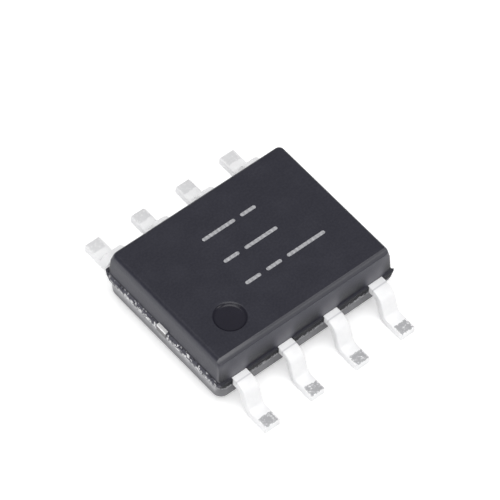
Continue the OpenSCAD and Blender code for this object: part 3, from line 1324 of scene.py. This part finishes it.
    def _divide_rim(self, body: Bench) -> None:
        """Divides the rim's outside, in edit mode, into faces small enough to break.

        The ledges are cut into triangles first, because they run round the moulding as one face.

        Args:
            body: The two halves with the rim.
        """
        body.pick_faces(self._is_ledge)
        bpy.ops.mesh.quads_convert_to_tris()
        for level in self.rim_levels:
            body.pick_faces(self._is_rim_wall)
            bpy.ops.mesh.bisect(plane_co=(0.0, 0.0, self.lead_low + level), plane_no=(0.0, 0.0, 1.0))
        body.pick_edges(lambda middle, along: abs(along.y) > ALONG and self._is_rim_edge(middle))
        bpy.ops.mesh.subdivide(number_cuts=self.short_cuts)
        body.pick_edges(lambda middle, along: abs(along.x) > ALONG and self._is_rim_edge(middle))
        bpy.ops.mesh.subdivide(number_cuts=self.long_cuts)

    @staticmethod
    def _roughen(offset: float, outward: float, seed: int) -> None:
        """Moves the selected points about, by up to an offset, with some share of it along their normals."""
        bpy.ops.transform.vertex_random(offset=offset, normal=outward, seed=seed)

    def _is_ledge(self, middle: Vector, normal: Vector) -> bool:
        """Whether a face is one of the level ledges of the rim."""
        return self._on_rim(middle.z) and abs(normal.z) > LEVEL

    def _is_rim_edge(self, middle: Vector) -> bool:
        """Whether a straight edge is on the rim's outside."""
        outside = abs(middle.x) > self.high.x - NEAR or abs(middle.y) > self.high.y - NEAR
        return self._on_rim(middle.z) and outside

    def _is_rim_wall(self, middle: Vector, normal: Vector) -> bool:
        """Whether a face is on the rim's upright outside."""
        return self._inside_rim(middle.z) and abs(normal.z) < LEVEL

    def _is_flash(self, middle: Vector, normal: Vector) -> bool:
        """Whether a face is on the part of the rim's outside that the flash comes out of."""
        low, high = self.rim_levels[:2]
        return self._is_rim_wall(middle, normal) and low < middle.z - self.lead_low < high

    def _is_end_point(self, at: Vector) -> bool:
        """Whether a point is on one of the rim's ends, and not on the flash."""
        return self._is_rim_point(at) and self.core.x < abs(at.x) < self.high.x + NEAR

    def _is_side_point(self, at: Vector) -> bool:
        """Whether a point is between the edges of one of the rim's long sides."""
        return self._is_rim_point(at) and abs(at.x) < self.core.x and self._inside_rim(at.z)

    def _is_rim_point(self, at: Vector) -> bool:
        """Whether a point is on the rim, outside the walls of the halves."""
        outside = abs(at.x) > self.core.x + NEAR or abs(at.y) > self.core.y + NEAR
        return self._on_rim(at.z) and outside

    def _inside_rim(self, z: float) -> bool:
        """Whether a height lies between the rim's edges."""
        return self.lead_low + NEAR < z < self.lead_high - NEAR

    def _notches(self) -> Iterator[Bench]:
        """Cutters for the slots in the rim that the leads and the tie bars come through.

        Yields:
            The cutters, one at a time.
        """
        half = self.lead_width / 2 + self.slack
        wall = self.core.y + self.slack
        for number in LEAD_NUMBERS:
            at = foot(number)
            yield self._slot(at.x - half, at.x + half, *sorted((math.copysign(wall, at.y), at.y)))
        half = self.tie_width / 2 + self.slack
        wall = self.core.x + self.slack
        for side in (-1.0, 1.0):
            yield self._slot(*sorted((side * wall, side * (self.high.x + self.over))), -half, half)

    def _slot(self, x_low: float, x_high: float, y_low: float, y_high: float) -> Bench:
        """A cutter a little higher than the rim."""
        low = Vector((x_low, y_low, self.lead_low - self.over))
        return Bench.box("slot", low, Vector((x_high, y_high, self.lead_high + self.over)))

    def _marks(self) -> Iterator[Bench]:
        """Cutters for the dimple, the ejector marks and the laser bars.

        Yields:
            The cutters, one at a time.
        """
        yield self._dimple()
        for x in (-self.ejector_at, self.ejector_at):
            at = Vector((x, 0.0, self.low.z - self.over))
            height = self.ejector_depth + self.over
            yield Bench.drum("ejector", at, self.ejector_radius, height, self.drum_sides)
        for row in self.mark_rows:
            x = row.x
            for length in row.lengths:
                yield self._bar(x, row.y, length)
                x += length + self.mark_gap

    def _dimple(self) -> Bench:
        """A cutter for the dimple, with a sloped wall that is rounded above and below.

        Returns:
            The cutter.
        """
        floor = Vector((*self.dimple_at, self.high.z - self.dimple_depth))
        brim = Vector((*self.dimple_at, self.high.z + NEAR))
        inner = self.dimple_radius - self.dimple_run / 2
        outer = self.dimple_radius + self.dimple_run / 2
        flange = outer + 2 * self.dimple_round
        dimple = Bench.drum("dimple", floor, inner, brim.z - floor.z, self.drum_sides)
        with dimple.editing():
            dimple.pick_faces(lambda middle, normal: normal.z > ALONG)
            bpy.ops.transform.resize(value=(outer / inner, outer / inner, 1.0), center_override=brim)
            bpy.ops.mesh.extrude_region_move()
            bpy.ops.transform.resize(value=(flange / outer, flange / outer, 1.0), center_override=brim)
            bpy.ops.mesh.extrude_region_move(TRANSFORM_OT_translate={"value": (0.0, 0.0, self.over)})
            dimple.pick_edges(lambda middle, along: self._is_dimple_edge(middle, floor.z, brim.z))
            bpy.ops.mesh.bevel(offset=self.dimple_round, segments=self.dimple_segments, affect="EDGES")
        return dimple

    def _is_dimple_edge(self, middle: Vector, floor: float, brim: float) -> bool:
        """Whether an edge of the dimple's cutter is to be rounded."""
        return self._in_dimple(middle) and min(abs(middle.z - floor), abs(middle.z - brim)) < NEAR / 2

    def _in_dimple(self, at: Vector) -> bool:
        """Whether a place lies over the dimple."""
        return (at.xy - Vector(self.dimple_at)).length < self.dimple_radius + self.dimple_run / 2 + NEAR

    def _bar(self, x: float, y: float, length: float) -> Bench:
        """A cutter for one laser bar.

        Args:
            x: Its -X end.
            y: Its middle line.
            length: Its length.

        Returns:
            The cutter.
        """
        half = self.mark_height / 2
        low = Vector((x, y - half, self.high.z - self.mark_depth))
        bar = Bench.box("bar", low, Vector((x + length, y + half, self.high.z + self.over)))
        bar.round_upright_edges(half - NEAR, self.mark_segments)
        return bar

    def _paint(self, body: Bench) -> None:
        """Hands out the finishes by place.

        Args:
            body: The moulding with its marks.
        """
        bars = self.high.z - self.mark_depth
        body.paint(Zone.SKIN, lambda middle, normal: True)
        body.paint(Zone.RIM, lambda middle, normal: self._on_rim(middle.z))
        body.paint(Zone.MARK, lambda middle, normal: self._in_mark(middle))
        body.paint(Zone.LASER, lambda middle, normal: abs(middle.z - bars) < NEAR and normal.z > ALONG)

    def _on_rim(self, z: float) -> bool:
        """Whether a face at this height belongs to the rim."""
        return self.lead_low - self.over < z < self.lead_high + self.over

    def _in_mark(self, middle: Vector) -> bool:
        """Whether a face lies in the dimple or in an ejector mark.

        Args:
            middle: The face's middle.

        Returns:
            True if it does.
        """
        ejector = Vector((abs(middle.x) - self.ejector_at, middle.y)).length < self.ejector_radius + NEAR
        sunk = self.high.z - self.dimple_depth - NEAR < middle.z < self.high.z - NEAR
        raised = self.low.z + NEAR < middle.z < self.low.z + self.ejector_depth + NEAR
        return self._in_dimple(middle) and sunk or ejector and raised


@dataclass
class Leads:
    """The eight formed leads, with the soft edges of stamped and plated strip, in millimetres and degrees."""

    edge_round: float = 0.04
    round_segments: int = 3
    sharp_above: float = 40.0
    smooth_below: float = 35.0

    def build(self) -> list[bpy.types.Object]:
        """Models the leads."""
        return [self._lead(f"lead_{number}") for number in LEAD_NUMBERS]

    def _lead(self, node: str) -> bpy.types.Object:
        """One lead.

        Args:
            node: The CAD node that it stands for.

        Returns:
            The finished piece.
        """
        lead = Bench.copy_of(node, f"formed_{node}")
        lead.apply(
            "BEVEL",
            width=self.edge_round,
            segments=self.round_segments,
            limit_method="ANGLE",
            angle_limit=math.radians(self.sharp_above),
        )
        piece = lead.done(self.smooth_below)
        dress(piece, (TIN,))
        seat(piece, node)
        return piece


@dataclass
class Inside:
    """The die, its pad and its wires: CAD nodes that stay as they are."""

    def dress(self) -> list[bpy.types.Object]:
        """Gives each node its finish.

        Returns:
            The nodes.
        """
        finishes = {"die_pad": COPPER, "die_attach": SILVER_EPOXY, "die": SILICON}
        finishes |= {f"bond_wire_{number}": GOLD for number in LEAD_NUMBERS}
        for node, finish in finishes.items():
            dress(frame["nodes"][node], (finish,))
        return [frame["nodes"][node] for node in finishes]


@dataclass(frozen=True)
class StudioFloor(Finish):
    """White paper that the camera and reflections see lighter, and that is open from below."""

    white: float = 0.90
    lift: float = 0.37

    def write(self, graph: Graph) -> None:
        """Writes the nodes of this finish.

        Args:
            graph: The material's graph.
        """
        rays = ("Is Camera Ray", "Is Glossy Ray", "Is Transmission Ray")
        camera, glossy, through = (graph.node("ShaderNodeLightPath", output=ray) for ray in rays)
        seen = graph.math("MINIMUM", camera + glossy + through, 1.0)
        paper = graph.node("ShaderNodeBsdfDiffuse", feeds={"Color": (self.white,) * 3})
        glow = graph.node("ShaderNodeEmission", feeds={"Strength": self.lift * seen})
        lit = graph.node("ShaderNodeAddShader", feeds={0: paper, 1: glow})
        clear = graph.node("ShaderNodeBsdfTransparent")
        back = graph.node("ShaderNodeNewGeometry", output="Backfacing")
        graph.surface(graph.node("ShaderNodeMixShader", feeds={0: back, 1: lit, 2: clear}))


@dataclass(frozen=True)
class Lamp:
    """A square soft lamp that faces the chip: angles in degrees, the rest in metres and watts."""

    name: str
    azimuth: float
    elevation: float
    distance: float
    size: float
    power: float

    def build(self) -> None:
        """Hangs the lamp."""
        data = bpy.data.lights.new(self.name, "AREA")
        data.size = self.size
        data.energy = self.power
        lamp = bpy.data.objects.new(self.name, data)
        lamp.location = sight_line(self.azimuth, self.elevation) * self.distance
        lamp.rotation_mode = "QUATERNION"
        lamp.rotation_quaternion = lamp.location.to_track_quat("Z", "Y")
        bpy.context.scene.collection.objects.link(lamp)


@dataclass
class Studio:
    """A white floor, a sky that brightens overhead, a high soft lamp and two low ones."""

    floor_side: float = 2.0
    sky: Span = (0.3, 0.85)
    lamps: tuple[Lamp, ...] = (
        Lamp("key", -43.0, 75.0, 0.25, 0.22, 0.31),
        Lamp("front", 26.0, 25.0, 0.25, 0.10, 0.085),
        Lamp("left", -75.0, 20.0, 0.25, 0.20, 0.130),
    )

    def build(self) -> None:
        """Makes the floor, the sky and the lamps."""
        clear_selection()
        bpy.ops.mesh.primitive_plane_add(size=self.floor_side)
        floor = bpy.context.object
        floor.name = "floor"
        dress(floor, (StudioFloor("white_floor"),))
        self._sky()
        for lamp in self.lamps:
            lamp.build()

    def _sky(self) -> None:
        """The sky: a white tent that is a little brighter overhead."""
        world = bpy.data.worlds.new("studio_sky")
        bpy.context.scene.world = world
        graph = Graph(world)
        at = graph.node("ShaderNodeTexCoord", output="Generated")
        height = graph.node("ShaderNodeSeparateXYZ", feeds={"Vector": at}, output="Z")
        graph.surface(graph.node("ShaderNodeBackground", feeds={"Strength": height.between(self.sky)}))


def sight_line(azimuth: float, elevation: float) -> Vector:
    """Direction from the chip towards a viewer.

    Args:
        azimuth: Degrees about +Z, with 0 at a viewer who looks along +Y.
        elevation: Degrees above the floor.

    Returns:
        A unit vector.
    """
    turn, tilt = math.radians(azimuth), math.radians(elevation)
    return Vector((math.sin(turn) * math.cos(tilt), -math.cos(turn) * math.cos(tilt), math.sin(tilt)))


@dataclass
class Camera:
    """The photograph's view: angles in degrees, distances in millimetres."""

    azimuth: float = -42.85
    elevation: float = 54.68
    roll: float = 3.47
    distance: float = 94.1
    aim: Span = (0.0275, 0.891)
    focal_pixels: float = 4352.0
    image_pixels: float = 500.0
    sensor_width: float = 36.0
    clip: Span = (0.001, 10.0)

    def build(self) -> None:
        """Places the camera."""
        data = bpy.data.cameras.new("camera")
        data.sensor_width = self.sensor_width
        data.lens = self.focal_pixels / self.image_pixels * self.sensor_width
        data.clip_start, data.clip_end = self.clip
        camera = bpy.data.objects.new("camera", data)
        bpy.context.scene.collection.objects.link(camera)
        turn, roll = math.radians(self.azimuth), math.radians(self.roll)
        back = sight_line(self.azimuth, self.elevation)
        level = Vector((math.cos(turn), math.sin(turn), 0.0))
        upright = back.cross(level)
        right = math.cos(roll) * level + math.sin(roll) * upright
        up = math.cos(roll) * upright - math.sin(roll) * level
        place = back * self.distance
        sight = (place - right * self.aim[0] - up * self.aim[1]).normalized()
        right = up.cross(sight).normalized()
        turned = Matrix((right, sight.cross(right), sight)).transposed().to_4x4()
        camera.matrix_world = Matrix.Translation(place * MM) @ turned
        bpy.context.scene.camera = camera


def report(pieces: Sequence[bpy.types.Object]) -> None:
    """Logs the pieces and their face counts."""
    for piece in pieces:
        LOG.info("%s: %d faces", piece.name, len(piece.data.polygons))


def main() -> None:
    """Builds the chip, its studio and its camera."""
    logging.basicConfig(level=logging.INFO, format="%(message)s")
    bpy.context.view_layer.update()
    bpy.context.scene.view_settings.view_transform = "Standard"
    Camera().build()
    Studio().build()
    report([Moulding().build()])
    report(Leads().build())
    report(Inside().dress())


if __name__ == "__main__":
    main()
